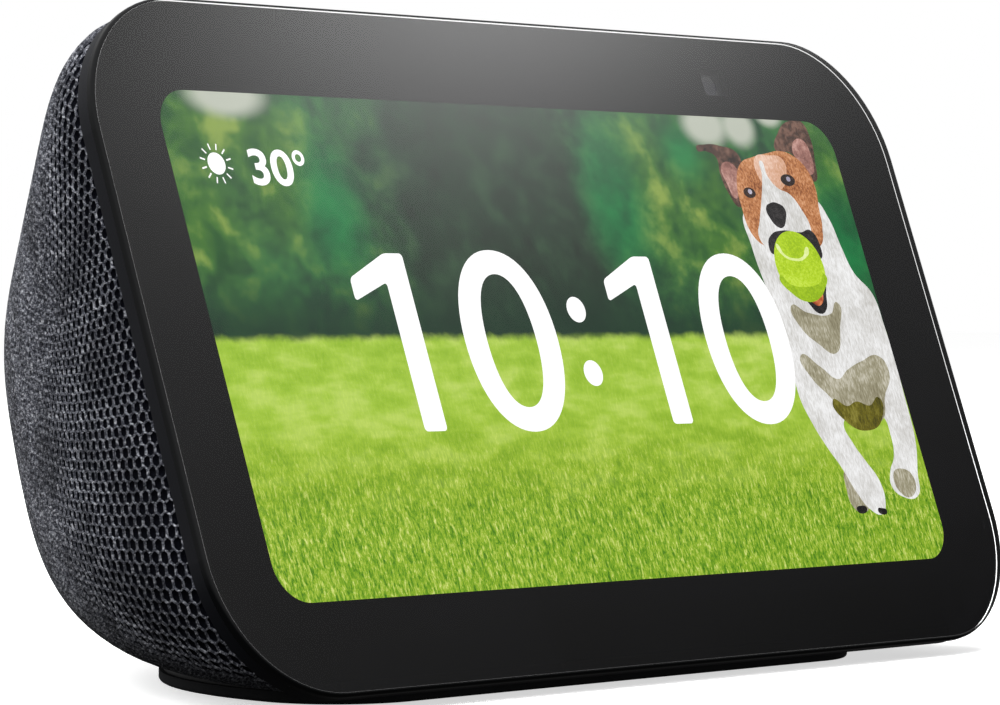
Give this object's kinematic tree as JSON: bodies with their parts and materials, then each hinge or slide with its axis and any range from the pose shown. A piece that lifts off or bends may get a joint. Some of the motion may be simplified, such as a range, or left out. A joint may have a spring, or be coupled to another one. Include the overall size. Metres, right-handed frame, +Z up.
{
  "type": "smart display",
  "caption": "Desk display with a tilted glass front, knitted fabric over a rounded body, top buttons, a camera shutter and a rear speaker.",
  "frame": {"origin": "on the surface that the display stands on, under the middle of its overall width and depth", "axes": "+X to the viewer's right along the screen, +Y to the rear, +Z up; the screen faces -Y and leans back 20 degrees"},
  "size_m": [0.147, 0.0915, 0.0822],
  "materials": {
    "clear_glass": "polished",
    "black_print": "satin",
    "tape": "matte",
    "lit_screen": "polished",
    "light_guide": "satin",
    "dark_plastic": "matte",
    "knit_fabric": "knitted",
    "foot_rubber": "matte",
    "circuit_board": "satin",
    "steel": "satin",
    "aluminium": "satin",
    "black_steel": "satin",
    "ferrite": "matte",
    "copper": "satin",
    "paper": "matte",
    "soft_foam": "matte",
    "flex": "satin",
    "white_plastic": "matte",
    "lens_glass": "polished"
  },
  "bodies": {
    "housing": {"antennas": "flex", "backlight": "light_guide", "base_plate": "dark_plastic", "base_screws": "steel", "board_connectors": "white_plastic", "board_screws": "steel", "border_mask": "black_print", "button_board": "circuit_board", "camera_lens": "lens_glass", "camera_module": "dark_plastic", "cover_glass": "clear_glass", "display_flex": "flex", "display_frame": "dark_plastic", "fabric_cover": "knit_fabric", "frame_screws": "steel", "glass_adhesive": "tape", "heat_spreader": "aluminium", "lcd_panel": "lit_screen", "main_board": "circuit_board", "microphones": "steel", "power_jack": "dark_plastic", "power_lead": "tape", "power_pin": "steel", "rear_shell": "dark_plastic", "rubber_foot": "foot_rubber", "shield_can": "steel", "speaker_basket": "black_steel", "speaker_box": "dark_plastic", "speaker_gasket": "soft_foam", "speaker_lead": "tape", "speaker_magnet": "ferrite", "speaker_screws": "steel", "speaker_spider": "paper", "speaker_surround": "tape", "speaker_top_plate": "steel", "speaker_yoke": "steel", "tact_switches": "steel", "thermal_pad": "soft_foam", "top_panel": "dark_plastic"},
    "volume_down": {"volume_down_button": "dark_plastic", "volume_down_plunger": "white_plastic"},
    "volume_up": {"volume_up_button": "dark_plastic", "volume_up_plunger": "white_plastic"},
    "mute": {"mute_button": "dark_plastic", "mute_plunger": "white_plastic"},
    "shutter": {"shutter_slider": "dark_plastic", "shutter_blade": "white_plastic"},
    "speaker_driver": {"speaker_cone": "paper", "speaker_voice_coil": "copper", "speaker_dust_cap": "paper"}
  },
  "joints": [
    {"name": "volume_down_press", "type": "slide", "parent": "housing", "child": "volume_down", "axis": [0, 0, -1], "range_m": [0, 0.0003], "stiffness_N_per_m": 2000, "springref_m": -0.0002},
    {"name": "volume_up_press", "type": "slide", "parent": "housing", "child": "volume_up", "axis": [0, 0, -1], "range_m": [0, 0.0003], "stiffness_N_per_m": 2000, "springref_m": -0.0002},
    {"name": "mute_press", "type": "slide", "parent": "housing", "child": "mute", "axis": [0, 0, -1], "range_m": [0, 0.0003], "stiffness_N_per_m": 2000, "springref_m": -0.0002},
    {"name": "shutter_slide", "type": "slide", "parent": "housing", "child": "shutter", "axis": [1, 0, 0], "range_m": [0, 0.0075]},
    {"name": "speaker_stroke", "type": "slide", "parent": "housing", "child": "speaker_driver", "axis": [0, 1, 0], "range_m": [-0.0015, 0.0015], "stiffness_N_per_m": 1200}
  ]
}
